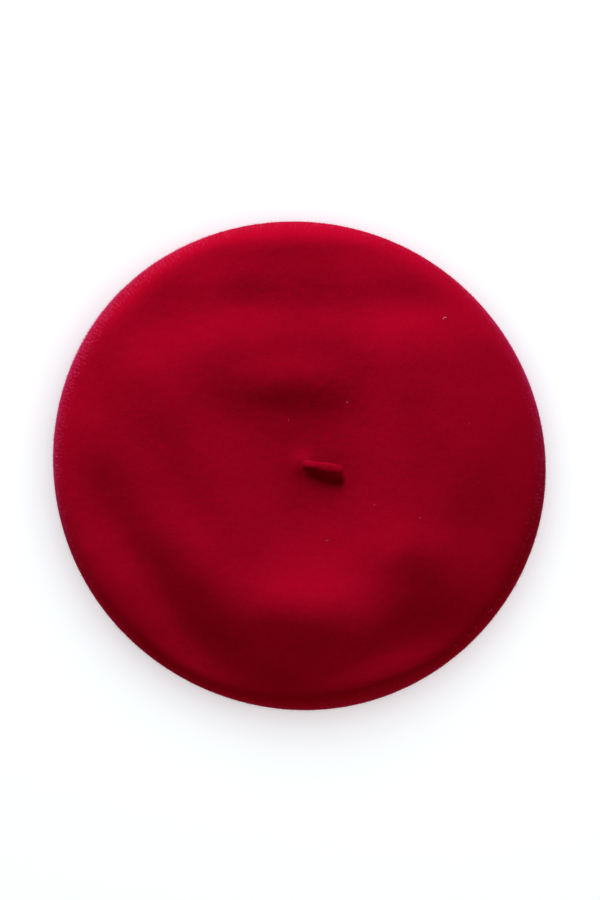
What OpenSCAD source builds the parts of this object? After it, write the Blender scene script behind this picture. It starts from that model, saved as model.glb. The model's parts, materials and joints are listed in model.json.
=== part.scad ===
// Beret: a one-piece wool felt cap with a stalk, lying crown up.
// The origin is on the surface it lies on, under the middle of the crown. The back of the cap is at -Y.

/* [Felt body] */
// Width of the cap across the rim
hat_d = 280; // [270:1:290]
// Height of the crown's crest above the surface
crest_h = 47; // [45:1:50]
// Distance of the crest from the middle
crest_at = 88; // [84:1:92]
// Height of the outside at the bottom of the middle dip
dip_h = 38; // [37:1:40]
// Radius of the rolled rim
rim_r = 19.5; // [18.5:0.5:21]
// Thickness of the felt
felt_t = 2.8; // [2.4:0.1:3]

/* [Head opening] */
// Radius inside the leather band, for a head 56 cm round
head_r = 89; // [86:1:90]
// Height of the leather band
band_h = 29; // [25:1:29]
// Thickness of the leather
band_t = 1.2; // [1:0.1:1.4]
// Number of stitches round the band
band_stitch_count = 72; // [48:4:96]

/* [Lining] */
// Room between the felt and the lining
lining_gap = 1.7; // [1.5:0.1:2]
// Thickness of the satin
lining_t = 0.5; // [0.4:0.1:0.6]
// Radius of the seam between the two panels
seam_at = 92; // [92:0.5:94]

/* [Stalk] */
// Place of the stalk's root, to the right of the middle
stalk_x = 3; // [0:0.5:6]
// Place of the stalk's root, in front of the middle
stalk_y = 1; // [-4:0.5:4]
// Length from the root's bending axis to the tip
stalk_l = 22.5; // [16:0.5:26]
// Thickness of the stalk
stalk_d = 4.4; // [3.6:0.2:4.4]
// Lean from upright
stalk_lean = 80; // [40:1:82]
// Direction of the lean, measured from +X
stalk_azimuth = -10; // [-40:1:40]

/* [Bow] */
// Width of the ribbon
ribbon_w = 6; // [5:0.5:6.5]
// Width across the two loops
bow_w = 26; // [22:1:30]

/* [Labels] */
// Width of the maker's label
maker_w = 50; // [40:1:60]
// Depth of the maker's label
maker_l = 24; // [20:1:30]
// Width of the size label
size_w = 16; // [12:1:20]
// Length of the size label
size_l = 9; // [6:1:9]
// Width of the care label
care_w = 18; // [14:1:18]
// Length of the care label
care_l = 22; // [16:1:22]

/* [Hidden] */
$fn = 180;

felt_red = [0.54, 0.02, 0.09];
satin_red = [0.42, 0.03, 0.08];
leather_brown = [0.2, 0.1, 0.06];
thread_red = [0.35, 0.03, 0.06];
ribbon_black = [0.09, 0.08, 0.09];
label_white = [0.86, 0.84, 0.8];

gap = 0.3;        // between a moving piece and the piece it turns in
contact = 0.1;    // between pieces that are sewn to each other
stitch_r = 0.35;  // radius of a thread
fine_stitch_r = 0.2;
above_all = 2 * crest_h;

// The outside of the cap is a chain of tangent arcs: rim, crest, dip. Each centre is [radius, height].
rim_centre = [hat_d / 2 - rim_r, rim_r];
crest_run = rim_centre[0] - crest_at;
crest_drop = crest_h - rim_centre[1];
crest_r = (crest_run * crest_run + crest_drop * crest_drop - rim_r * rim_r) / (2 * (crest_drop - rim_r));
crest_centre = [crest_at, crest_h - crest_r];
dip_rise = dip_h - crest_centre[1];
dip_r = (crest_at * crest_at + dip_rise * dip_rise - crest_r * crest_r) / (2 * (crest_r - dip_rise));
dip_centre = [0, dip_h + dip_r];
// Directions from the crest's centre to where its arc meets the rim's arc and the dip's arc
to_rim = (rim_centre - crest_centre) / norm(rim_centre - crest_centre);
to_dip = (dip_centre - crest_centre) / norm(dip_centre - crest_centre);

// Heights of the cap's outside, moved inwards by an inset
function crest_z(r, inset) = crest_centre[1] + sqrt(pow(crest_r - inset, 2) - pow(r - crest_at, 2));
function dip_z(r, inset) = dip_centre[1] - sqrt(pow(dip_r + inset, 2) - r * r);

// Layers, as insets from the outside
lining_out = felt_t + lining_gap;
lining_in = lining_out + lining_t;
label_t = 0.4;
label_out = lining_in + contact;
label_in = label_out + label_t;

// Head opening
band_z = 1;
band_top = band_z + band_h;
band_out_r = head_r + band_t;
edge_r = band_out_r + 1.4;
lining_edge_r = band_out_r + 0.5;
band_slit = 0.4;
patch_w = 16;
patch_t = 0.7;
patch_z = lining_in + 1;
patch_top = band_top - 2;

// Stalk: its root is a barrel on the bending axis, in a saddle that is fixed to the crown
barrel_r = 2.4;
barrel_l = 4.8;
pivot_z = dip_h + 2.5;
saddle_r = 3.6;
saddle_z = dip_h + contact;
saddle_top = dip_h + 0.7;
root_hole_r = 2.7;
waist_r = 1.9;
waist_l = 6;
button_r = 6;
button_t = 0.9;
button_top = dip_h - felt_t - contact;
button_bottom = button_top - button_t;
root_stitch_count = 10;

// Bow, on the upper edge of the band at the back
ribbon_t = 0.5;
bow_y = -(head_r + band_t / 2);
bow_z = band_top + contact;
loop_depth = 3.4;
knot_r = 1.9;
tail_w = 4;
tail_l = 12;
tail_drop = 12;
tail_notch = 1.6;

// Maker's label, on the lining behind the middle
maker_y = -48;
maker_stitch_count = 5;
maker_stitch_l = 2.4;
maker_stitch_in = 1.6;

// Hanging labels: each turns on its rolled edge
roll_r = 0.6;
size_azimuth = -125;
size_axis_r = seam_at - 1.2;
size_axis_z = crest_z(size_axis_r, lining_in) - 1.5;
care_azimuth = -70;
care_r0 = seam_at + 5;
care_r1 = care_r0 + care_w;
care_slope = atan((crest_z(care_r0, lining_in) - crest_z(care_r1, lining_in)) / care_w);
care_axis_z = crest_z(care_r0, lining_in) - 1.7;

// Section of the whole cap, moved inwards by an inset
module cap_section(inset) {
    crest_end = crest_centre + (crest_r - inset) * to_dip;
    difference() {
        union() {
            translate(rim_centre) circle(r = rim_r - inset);
            intersection() {
                translate(crest_centre) circle(r = crest_r - inset, $fn = 360);
                polygon([[crest_end[0], inset], [rim_centre[0], inset], rim_centre,
                         rim_centre + 2 * rim_r * to_rim, [rim_centre[0], above_all],
                         [crest_end[0], above_all]]);
            }
            translate([0, inset]) square([crest_end[0], crest_h - inset]);
        }
        translate(dip_centre) circle(r = dip_r + inset, $fn = 1440);
    }
}

// Section of the skin of the cap between two insets
module layer_section(outer, inner) {
    intersection() {
        difference() {
            cap_section(outer);
            cap_section(inner);
        }
        square([hat_d, above_all]);
    }
}

module felt_body() color(felt_red)
    difference() {
        rotate_extrude() {
            difference() {
                layer_section(0, felt_t);
                square([edge_r + felt_t / 2, felt_t + 1]);
            }
            translate([edge_r + felt_t / 2, felt_t / 2]) circle(d = felt_t);
        }
        translate([stalk_x, stalk_y, 0]) cylinder(r = root_hole_r, h = above_all);
    }

// Puts what follows at the stalk's bending axis, which then lies along Y, with the stalk along Z
module at_stalk(lean) {
    translate([stalk_x, stalk_y, pivot_z]) rotate([0, lean, stalk_azimuth]) children();
}

module stalk_barrel(clearance) {
    rotate([90, 0, 0]) cylinder(r = barrel_r + clearance, h = barrel_l + 2 * clearance, center = true);
}

module stalk() color(felt_red)
    at_stalk(stalk_lean) {
        stalk_barrel(0);
        cylinder(r1 = waist_r, r2 = stalk_d / 2, h = waist_l);
        translate([0, 0, waist_l]) cylinder(d = stalk_d, h = stalk_l - stalk_d / 2 - waist_l);
        translate([0, 0, stalk_l - stalk_d / 2]) sphere(d = stalk_d);
    }

module stalk_root() color(felt_red)
    difference() {
        translate([stalk_x, stalk_y, 0]) {
            translate([0, 0, button_bottom]) cylinder(r = button_r, h = button_t);
            translate([0, 0, button_top]) cylinder(r = root_hole_r - contact, h = saddle_z - button_top);
            translate([0, 0, saddle_z]) cylinder(r = saddle_r, h = saddle_top - saddle_z);
        }
        at_stalk(0) stalk_barrel(gap);
    }

module stalk_stitches() color(thread_red)
    translate([stalk_x, stalk_y, button_bottom - fine_stitch_r])
        for (i = [0 : root_stitch_count - 1])
            rotate([0, 0, i * 360 / root_stitch_count])
                translate([button_r / 2, 0, 0])
                    rotate([0, 90, 0]) cylinder(r = fine_stitch_r, h = button_r / 2, $fn = 24);

module lining_top() color(satin_red)
    rotate_extrude()
        intersection() {
            layer_section(lining_out, lining_in);
            translate([0, crest_h / 2]) square([seam_at - stitch_r - contact, crest_h]);
        }

module lining_side() color(satin_red)
    rotate_extrude()
        difference() {
            layer_section(lining_out, lining_in);
            square([lining_edge_r, crest_h / 2]);
            translate([0, crest_h / 2]) square([seam_at + stitch_r + contact, crest_h]);
        }

module lining_seam() color(thread_red)
    rotate_extrude()
        translate([seam_at, crest_z(seam_at, lining_in)]) circle(r = stitch_r, $fn = 24);

module sweatband() color(leather_brown)
    difference() {
        rotate_extrude() {
            translate([head_r, band_z]) square([band_t, band_h - band_t / 2]);
            translate([head_r + band_t / 2, band_top - band_t / 2]) circle(d = band_t, $fn = 24);
        }
        translate([-band_slit / 2, -band_out_r - 1, 0]) cube([band_slit, band_t + 2, above_all]);
    }

module sweatband_joint() color(leather_brown) {
    patch_r = band_out_r + contact;
    patch_angle = patch_w / patch_r * 180 / PI;
    rotate([0, 0, -90 - patch_angle / 2])
        rotate_extrude(angle = patch_angle)
            translate([patch_r, patch_z]) square([patch_t, patch_top - patch_z]);
}

module sweatband_stitches() color(thread_red)
    for (i = [0 : band_stitch_count - 1])
        rotate([0, 0, i * 360 / band_stitch_count])
            translate([band_out_r, 0, felt_t / 2])
                rotate([0, 90, 0]) cylinder(r = stitch_r, h = edge_r - band_out_r, $fn = 24);

// Plan of one loop of the bow, with its ribbon's outside moved inwards
module loop_plan(inset) {
    end_r = loop_depth / 2;
    end_x = bow_w / 2 - end_r;
    translate([end_x, 0]) circle(r = end_r - inset, $fn = 48);
    polygon([[knot_r, inset - 1], [end_x, inset - end_r], [end_x, end_r - inset], [knot_r, 1 - inset]]);
}

module bow_loops() color(ribbon_black)
    for (side = [0, 1])
        translate([0, bow_y, bow_z])
            mirror([side, 0, 0])
                linear_extrude(ribbon_w)
                    difference() {
                        loop_plan(0);
                        loop_plan(ribbon_t);
                    }

module bow_knot() color(ribbon_black)
    translate([0, bow_y, bow_z])
        intersection() {
            cylinder(r = knot_r - contact, h = ribbon_w);
            translate([0, 0, ribbon_w / 2]) sphere(d = ribbon_w + 1);
        }

// The tails come out of the front of the knot
module bow_tails() color(ribbon_black)
    for (side = [0, 1])
        translate([0, bow_y + knot_r + ribbon_t, bow_z + ribbon_w / 2 + 1])
            mirror([side, 0, 0])
                rotate([90, tail_drop, 0])
                    linear_extrude(ribbon_t)
                        polygon([[contact, -tail_w / 4], [tail_l, -tail_w / 2], [tail_l - tail_notch, 0],
                                 [tail_l, tail_w / 2], [contact, tail_w / 4]]);

module maker_label() color(label_white)
    intersection() {
        rotate_extrude() layer_section(label_out, label_in);
        translate([-maker_w / 2, maker_y - maker_l / 2, crest_h / 2]) cube([maker_w, maker_l, crest_h]);
    }

module maker_label_stitches() color(thread_red)
    for (x = [maker_stitch_in - maker_w / 2, maker_w / 2 - maker_stitch_in])
        for (i = [0 : maker_stitch_count - 1]) {
            y = maker_y + (i / (maker_stitch_count - 1) - 0.5) * (maker_l - 2 * maker_stitch_l);
            z = dip_z(norm([x, y]), label_in) - fine_stitch_r - contact / 2;
            translate([x, y, z])
                rotate([90 + atan(y / dip_r), 0, 0])
                    cylinder(r = fine_stitch_r, h = maker_stitch_l, center = true, $fn = 24);
        }

module size_label() color(label_white)
    rotate([0, 0, size_azimuth])
        translate([size_axis_r, 0, size_axis_z]) {
            rotate([90, 0, 0]) cylinder(r = roll_r, h = size_w, center = true);
            translate([-label_t / 2, -size_w / 2, -size_l]) cube([label_t, size_w, size_l]);
        }

module care_label() color(label_white)
    rotate([0, 0, care_azimuth])
        translate([care_r0, 0, care_axis_z])
            rotate([0, care_slope, 0]) {
                rotate([0, 90, 0]) cylinder(r = roll_r, h = care_w);
                translate([0, -label_t / 2, -care_l]) cube([care_w, label_t, care_l]);
            }

// Short upright threads from the lining down to a label's rolled edge
module hanging_stitch(r, low) {
    high = crest_z(r + fine_stitch_r, lining_in) - contact / 2;
    translate([r, 0, low]) cylinder(r = fine_stitch_r, h = high - low, $fn = 24);
}

module label_stitches() color(thread_red) {
    for (side = [-1, 0, 1])
        rotate([0, 0, size_azimuth + side * 4])
            hanging_stitch(size_axis_r, size_axis_z + roll_r + contact);
    for (part = [0.2, 0.5, 0.8])
        rotate([0, 0, care_azimuth])
            hanging_stitch(care_r0 + part * care_w,
                           care_axis_z - part * care_w * tan(care_slope) + roll_r + 2 * contact);
}

felt_body();
stalk();
stalk_root();
stalk_stitches();
lining_top();
lining_side();
lining_seam();
sweatband();
sweatband_joint();
sweatband_stitches();
bow_loops();
bow_knot();
bow_tails();
maker_label();
maker_label_stitches();
size_label();
care_label();
label_stitches();
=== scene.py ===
"""A red wool felt beret lying crown up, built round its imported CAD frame.

Lengths are in metres, +Z is up and the back of the cap is at -Y.
"""

import json
import math

import bpy
import numpy as np
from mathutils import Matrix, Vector, noise


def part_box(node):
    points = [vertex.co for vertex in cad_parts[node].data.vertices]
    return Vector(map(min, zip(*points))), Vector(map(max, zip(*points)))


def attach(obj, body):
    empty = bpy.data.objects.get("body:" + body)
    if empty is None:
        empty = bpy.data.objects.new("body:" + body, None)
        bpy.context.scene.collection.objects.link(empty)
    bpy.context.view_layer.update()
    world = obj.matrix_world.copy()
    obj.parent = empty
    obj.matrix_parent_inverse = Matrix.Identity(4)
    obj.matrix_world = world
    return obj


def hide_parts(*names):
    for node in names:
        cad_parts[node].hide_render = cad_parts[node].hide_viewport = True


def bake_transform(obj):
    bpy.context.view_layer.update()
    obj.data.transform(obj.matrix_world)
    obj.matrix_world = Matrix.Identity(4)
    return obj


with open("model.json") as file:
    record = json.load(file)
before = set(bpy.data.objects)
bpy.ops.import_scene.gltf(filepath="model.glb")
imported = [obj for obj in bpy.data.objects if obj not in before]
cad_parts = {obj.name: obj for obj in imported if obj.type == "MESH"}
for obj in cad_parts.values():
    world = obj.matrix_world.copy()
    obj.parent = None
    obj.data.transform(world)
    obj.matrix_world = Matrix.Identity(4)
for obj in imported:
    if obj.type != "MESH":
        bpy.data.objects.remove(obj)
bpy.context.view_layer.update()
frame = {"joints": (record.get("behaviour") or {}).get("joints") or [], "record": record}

MM = 0.001
TAU = 2 * math.pi
UP = Vector((0, 0, 1))
CAP = "cap"
rng = np.random.default_rng(7)

# ---------------- sizes from the frame
_, felt_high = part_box("felt_body")
band_low, band_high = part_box("sweatband")
loops_low, loops_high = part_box("bow_loops")
knot_low, knot_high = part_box("bow_knot")
tails_low, tails_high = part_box("bow_tails")
maker_low, maker_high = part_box("maker_label")
joint_low, joint_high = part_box("sweatband_joint")
root_low, root_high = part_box("stalk_root")
joints = {joint["name"]: joint for joint in frame["joints"]}
mounts = {mount["name"]: mount for mount in frame["record"]["mounts"]}

HAT_R = felt_high[0]
CREST_H = felt_high[2]
HEAD_R = mounts["head_opening"]["dims"]["r_mm"] * MM
BAND_OUT_R = band_high[0]
BAND_BOTTOM = band_low[2]
BAND_TOP = band_high[2]
STALK_PIVOT = Vector(joints["stalk_lean"]["pos_m"])
STALK_HINGE = Vector(joints["stalk_lean"]["axis"])

# ---------------- sizes that the CAD model is drawn with
CREST_AT = 88 * MM
DIP_H = 38 * MM
RIM_R = 19.5 * MM
FELT_T = 2.8 * MM
LINING_OUT = 4.5 * MM
LINING_IN = 5.0 * MM
LABEL_OUT = 5.1 * MM
LABEL_IN = 5.5 * MM
SEAM_R = 92 * MM
LINING_EDGE_R = BAND_OUT_R + 0.5 * MM
FELT_EDGE_R = BAND_OUT_R + 1.4 * MM
STALK_LENGTH = 22.5 * MM
STALK_LEAN = math.radians(80)
STITCH_COUNT = 72

RIM_CENTRE = np.array([HAT_R - RIM_R, RIM_R])


def crest_arc():
    """Centre and radius of the crest's arc, which is tangent to the rim's arc."""
    run = RIM_CENTRE[0] - CREST_AT
    drop = CREST_H - RIM_CENTRE[1]
    radius = (run * run + drop * drop - RIM_R * RIM_R) / (2 * (drop - RIM_R))
    return np.array([CREST_AT, CREST_H - radius]), radius


CREST_CENTRE, CREST_R = crest_arc()


def dip_arc():
    """Centre and radius of the dip's arc, which is tangent to the crest's arc."""
    rise = DIP_H - CREST_CENTRE[1]
    radius = (CREST_AT ** 2 + rise ** 2 - CREST_R ** 2) / (2 * (CREST_R - rise))
    return np.array([0, DIP_H + radius]), radius


DIP_CENTRE, DIP_R = dip_arc()
RIM_END = math.atan2(RIM_CENTRE[1] - CREST_CENTRE[1], RIM_CENTRE[0] - CREST_CENTRE[0])
CREST_END = math.atan2(DIP_CENTRE[1] - CREST_CENTRE[1], DIP_CENTRE[0] - CREST_CENTRE[0])
CREST_END_R = CREST_CENTRE[0] + CREST_R * math.cos(CREST_END)

# ---------------- how the felt lies
# Soft folds of the crown, each (x, y, half length, half width, direction in degrees, height) in mm
FOLDS = [
    (-49, -8, 48, 13, -62, 5.0),     # left wall of the dip
    (-57, -50, 20, 10, -55, 3.2),    # sharper ridge along its lower end
    (-81, -68, 32, 11, -54, -7.5),   # crease inside the left rim
    (-106, -24, 19, 11, -68, -5.0),  # its upper end
    (-96, 62, 24, 17, -75, 3.5),     # swell towards the left front
    (-50, -106, 24, 12, -30, -4.5),  # end of the crease at the back
    (12, 90, 60, 13, 0, -5.0),       # long hollow inside the front rim
    (-30, 90, 14, 12, 0, -2.5),      # its deepest place
    (66, 92, 16, 10, -10, -2.5),     # its right end
    (-68, 78, 18, 12, 25, -2.0),     # its left end
    (-8, 130, 45, 8, 0, 5.5),        # raised rim at the front
    (-98, 97, 36, 12, 44, 8.0),      # raised rim at the left front
    (94, 90, 32, 12, -47, 4.5),      # raised rim at the right front
    (-6, 47, 22, 10, 0, 4.2),        # front wall of the dip
    (54, 6, 46, 12, -88, 5.0),       # right wall of the dip
    (62, -48, 16, 11, 0, 3.2),       # its end towards the back
    (100, -34, 20, 14, 90, -4.5),    # valley inside the right rim
    (10, -30, 20, 15, 90, -4.5),     # floor of the dip
    (2, -80, 24, 12, -12, 5.0),      # back wall of the dip
    (66, -94, 20, 12, 30, -3.5),     # hollow at the right back
    (40, -126, 34, 8, 18, 4.0),      # raised rim at the back
]
# The outline is a little longer along one diagonal, and the stretch begins at this radius
OUTLINE_STRETCH = 0.012
STRETCH_FROM_R = 96 * MM
OUTLINE_LONG_WAY = math.radians(145)
# How high and how wide the felt rises round the stalk's root
ROOT_PULL_H = 2.0 * MM
ROOT_PULL_R = 6.5 * MM


def smoothstep(t):
    t = np.clip(t, 0, 1)
    return t * t * (3 - 2 * t)


def fold_height(x, y):
    """Height that the folds add to the crown at a place, in metres."""
    total = np.zeros_like(x)
    for fold_x, fold_y, half_length, half_width, direction, height in FOLDS:
        angle = math.radians(direction)
        dx, dy = x - fold_x * MM, y - fold_y * MM
        along = (dx * math.cos(angle) + dy * math.sin(angle)) / (half_length * MM)
        across = (-dx * math.sin(angle) + dy * math.cos(angle)) / (half_width * MM)
        total += height * MM * np.exp(-(along ** 2 + across ** 2) / 2)
    return total


def outline_scale(theta):
    """How much the rim stands out at an angle."""
    wobble = 0.0022 * np.sin(3 * theta + 0.6) + 0.0014 * np.sin(5 * theta + 2.0)
    return 1 + OUTLINE_STRETCH * np.cos(2 * (theta - OUTLINE_LONG_WAY)) + wobble


def soft_cap(radius, height, theta):
    """Moves points of the plain cap to where the soft cap has them. Arrays of radius, height and angle."""
    out = smoothstep((radius - STRETCH_FROM_R) / (HAT_R - STRETCH_FROM_R))
    spread = radius * (1 + out * (outline_scale(theta) - 1))
    x, y = spread * np.cos(theta), spread * np.sin(theta)
    upper = smoothstep((height - RIM_R) / (0.85 * CREST_H - RIM_R))
    from_root = np.hypot(x - STALK_PIVOT[0], y - STALK_PIVOT[1])
    pull = ROOT_PULL_H * np.exp(-(from_root / ROOT_PULL_R) ** 2)
    z = height + upper * (fold_height(x, y) + pull)
    return np.stack([x, y, z], axis=-1)


def cap_section(start_r, step):
    """The outside of the cap as rows of (radius, height, inward radius, inward height).

    It runs from a radius on the underside, out round the rim and in to the middle of the crown.
    """
    def arc(centre, radius, start, end, inward):
        angles = np.linspace(start, end, max(3, int(abs(end - start) * radius / step)))
        way = np.stack([np.cos(angles), np.sin(angles)], axis=-1)
        return np.hstack([centre + radius * way, inward * way])

    flat_r = np.arange(start_r, RIM_CENTRE[0] - step / 2, step)
    flat = np.stack([flat_r, 0 * flat_r, 0 * flat_r, 0 * flat_r + 1], axis=-1)
    rows = np.concatenate([
        flat,
        arc(RIM_CENTRE, RIM_R, -math.pi / 2, RIM_END, -1),
        arc(CREST_CENTRE, CREST_R, RIM_END, CREST_END, -1)[1:],
        arc(DIP_CENTRE, DIP_R, CREST_END + math.pi, 1.5 * math.pi, 1)[1:],
    ])
    rows[:, 0] = np.maximum(rows[:, 0], 0)
    return rows


def cut_section(rows, low_r, high_r, crown):
    """The rows of a section on the crown, or on the rim and underside, between two radii."""
    is_crown = np.arange(len(rows)) >= np.argmax(rows[:, 1])
    inside = (rows[:, 0] >= low_r) & (rows[:, 0] <= high_r)
    return rows[inside & is_crown] if crown else rows[inside | ~is_crown]


def layer(rows, inset):
    """The rows of a section with the inset of a layer added as a fifth column."""
    return np.hstack([rows, np.full((len(rows), 1), inset)])


def on_layer(row, theta, extra=0.0):
    """Points on the soft cap at some angles, for one row of a layer moved further in by extra."""
    depth = row[4] + extra
    radius = np.broadcast_to(row[0] + row[2] * depth, theta.shape)
    height = np.broadcast_to(row[1] + row[3] * depth, theta.shape)
    return soft_cap(radius, height, theta)


def crown_point(x, y, inset):
    """The point of a layer of the crown over a place."""
    radius, theta = math.hypot(x, y), math.atan2(y, x)
    if radius < CREST_END_R:
        height = DIP_CENTRE[1] - math.sqrt((DIP_R + inset) ** 2 - radius ** 2)
    else:
        height = CREST_CENTRE[1] + math.sqrt((CREST_R - inset) ** 2 - (radius - CREST_AT) ** 2)
    return soft_cap(np.array([radius]), np.array([height]), np.array([theta]))[0]


# ---------------- mesh helpers
def add_piece(name, vertices, faces, *materials):
    mesh = bpy.data.meshes.new(name)
    mesh.from_pydata([tuple(v) for v in vertices], [], [tuple(face) for face in faces])
    mesh.validate()
    for material in materials:
        mesh.materials.append(material)
    mesh.polygons.foreach_set("use_smooth", [True] * len(mesh.polygons))
    mesh.update()
    piece = bpy.data.objects.new(name, mesh)
    bpy.context.scene.collection.objects.link(piece)
    return piece


def grid_faces(rows, columns, wrap_columns=True, wrap_rows=False):
    """Quads between the points of a grid that is stored row by row."""
    faces = []
    for row in range(rows if wrap_rows else rows - 1):
        low, high = row * columns, (row + 1) % rows * columns
        for i in range(columns if wrap_columns else columns - 1):
            j = (i + 1) % columns
            faces.append((low + i, low + j, high + j, high + i))
    return faces


def turns(count):
    """Angles that are evenly spaced round a circle."""
    return [TAU * k / count for k in range(count)]


def way_at(points, i):
    """The direction of a line of points at one of them."""
    return (points[min(i + 1, len(points) - 1)] - points[max(i - 1, 0)]).normalized()


def closed_grid(vertices, rows, columns):
    """Vertices and faces of a wrapped grid, closed at both ends with a point in the middle of each."""
    faces = grid_faces(rows, columns)
    for row, flip in ((0, True), (rows - 1, False)):
        ring = range(row * columns, (row + 1) * columns)
        middle = sum((Vector(vertices[i]) for i in ring), Vector()) / columns
        index = len(vertices)
        vertices.append(middle)
        for i in range(columns):
            a, b = ring[i], ring[(i + 1) % columns]
            faces.append((b, a, index) if flip else (a, b, index))
    return vertices, faces


def tube_parts(points, radii, sides, up=UP):
    """Vertices and faces of a closed tube along points."""
    points = [Vector(p) for p in points]
    vertices = []
    for i, point in enumerate(points):
        ahead = way_at(points, i)
        side = ahead.cross(up).normalized()
        rise = side.cross(ahead)
        for angle in turns(sides):
            vertices.append(point + radii[i] * (side * math.cos(angle) + rise * math.sin(angle)))
    return closed_grid(vertices, len(points), sides)


def join_parts(parts):
    """One list of vertices and one of faces from many."""
    vertices, faces = [], []
    for part_vertices, part_faces in parts:
        base = len(vertices)
        vertices.extend(part_vertices)
        faces.extend([tuple(index + base for index in face) for face in part_faces])
    return vertices, faces


def thread_parts(path, radius, sides=6):
    """A short thread along a path that thins out at both ends."""
    count = len(path) - 1
    radii = [radius * (0.5 + 0.5 * math.sin(math.pi * i / count) ** 0.5) for i in range(count + 1)]
    return tube_parts(path, radii, sides)


def polar(radius, theta, height):
    return Vector((radius * math.cos(theta), radius * math.sin(theta), height))


# ---------------- materials
class Nodes:
    """Makes and joins the shader nodes of one material."""

    def __init__(self, name):
        self.material = bpy.data.materials.new(name)
        self.material.use_nodes = True
        self.tree = self.material.node_tree
        self.shader = self.tree.nodes["Principled BSDF"]
        self.coordinates = self.add("ShaderNodeTexCoord").outputs["Object"]

    def add(self, kind, **settings):
        node = self.tree.nodes.new(kind)
        for key, value in settings.items():
            setattr(node, key, value)
        return node

    def give(self, socket, value):
        if isinstance(value, bpy.types.NodeSocket):
            self.tree.links.new(value, socket)
        else:
            socket.default_value = value

    def put(self, node, **values):
        """Values or links for a node's sockets. An underscore in a name stands for a space."""
        for key, value in values.items():
            self.give(node.inputs[key.replace("_", " ")], value)
        return node

    def surface(self, **values):
        self.put(self.shader, **values)

    def noise(self, scale, detail=2.0, roughness=0.5, distortion=0.0):
        node = self.add("ShaderNodeTexNoise")
        self.put(node, Scale=scale, Detail=detail, Roughness=roughness, Distortion=distortion,
                 Vector=self.coordinates)
        return node.outputs["Fac"]

    def wave(self, direction, scale, distortion=0.4):
        node = self.add("ShaderNodeTexWave", wave_type="BANDS", bands_direction=direction)
        self.put(node, Scale=scale, Distortion=distortion, Detail=1.0, Vector=self.coordinates)
        return node.outputs["Fac"]

    def cells(self, scale, feature="F1"):
        node = self.add("ShaderNodeTexVoronoi", feature=feature)
        self.put(node, Scale=scale, Vector=self.coordinates)
        return node.outputs["Distance"]

    def ramp(self, value, low, high, first=0.0, last=1.0):
        node = self.add("ShaderNodeMapRange")
        self.put(node, Value=value, From_Min=low, From_Max=high, To_Min=first, To_Max=last)
        return node.outputs["Result"]

    def math(self, operation, a, b=0.0):
        node = self.add("ShaderNodeMath", operation=operation)
        self.give(node.inputs[0], a)
        self.give(node.inputs[1], b)
        return node.outputs["Value"]

    def mix(self, factor, a, b):
        node = self.add("ShaderNodeMix", data_type="RGBA")
        self.give(node.inputs[0], factor)
        self.give(node.inputs[6], a)
        self.give(node.inputs[7], b)
        return node.outputs[2]

    def bump(self, height, strength, distance, normal=None):
        node = self.add("ShaderNodeBump")
        self.put(node, Height=height, Strength=strength, Distance=distance)
        if normal:
            self.give(node.inputs["Normal"], normal)
        return node.outputs["Normal"]


def colour(red, green, blue):
    return (red, green, blue, 1.0)


FELT_MID = colour(0.235, 0.0006, 0.0075)
FELT_DEEP = colour(0.165, 0.0002, 0.0025)
FELT_PALE = colour(0.33, 0.002, 0.018)
SHEEN_PINK = colour(0.8, 0.1, 0.36)


def felt_material(name, mid, deep, pale, sheen):
    """Fulled wool: matt, mottled at several scales, with a short nap that lights up at its edges."""
    n = Nodes(name)
    blotch = n.ramp(n.noise(28, 3, 0.55), 0.3, 0.7)
    clump = n.ramp(n.noise(380, 5, 0.65, 0.8), 0.3, 0.7)
    fibre = n.ramp(n.noise(1700, 4, 0.7, 1.5), 0.3, 0.7)
    shade = n.mix(n.math("MULTIPLY", blotch, 0.4), mid, deep)
    shade = n.mix(n.math("MULTIPLY", clump, 0.45), shade, deep)
    shade = n.mix(n.math("MULTIPLY", fibre, 0.4), shade, pale)
    speck = n.math("LESS_THAN", n.cells(62), 0.018)
    chosen = n.math("GREATER_THAN", n.noise(45, 1), 0.58)
    shade = n.mix(n.math("MULTIPLY", speck, chosen), shade, colour(0.4, 0.03, 0.06))
    lumps = n.bump(n.noise(240, 5, 0.65), 0.5, 0.7 * MM)
    nap = n.bump(n.noise(1100, 5, 0.75, 2.0), 0.75, 0.4 * MM, lumps)
    n.surface(Base_Color=shade, Normal=nap, Roughness=0.95, Sheen_Weight=sheen, Sheen_Roughness=0.22,
              Sheen_Tint=SHEEN_PINK, Specular_IOR_Level=0.0, Diffuse_Roughness=0.2)
    return n.material


def satin_material():
    """Red satin: a close weave with a soft gloss."""
    n = Nodes("lining_satin")
    weave = n.math("MULTIPLY", n.wave("X", 900), n.wave("Y", 620))
    tone = n.mix(n.ramp(n.noise(35, 3), 0.3, 0.7), colour(0.15, 0.004, 0.016), colour(0.23, 0.009, 0.026))
    tone = n.mix(n.math("MULTIPLY", weave, 0.3), tone, colour(0.34, 0.02, 0.05))
    n.surface(Base_Color=tone, Normal=n.bump(weave, 0.25, 0.06 * MM),
              Roughness=n.ramp(weave, 0, 1, 0.42, 0.56), Specular_IOR_Level=0.4,
              Sheen_Weight=0.15, Sheen_Roughness=0.3, Anisotropic=0.4)
    return n.material


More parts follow.
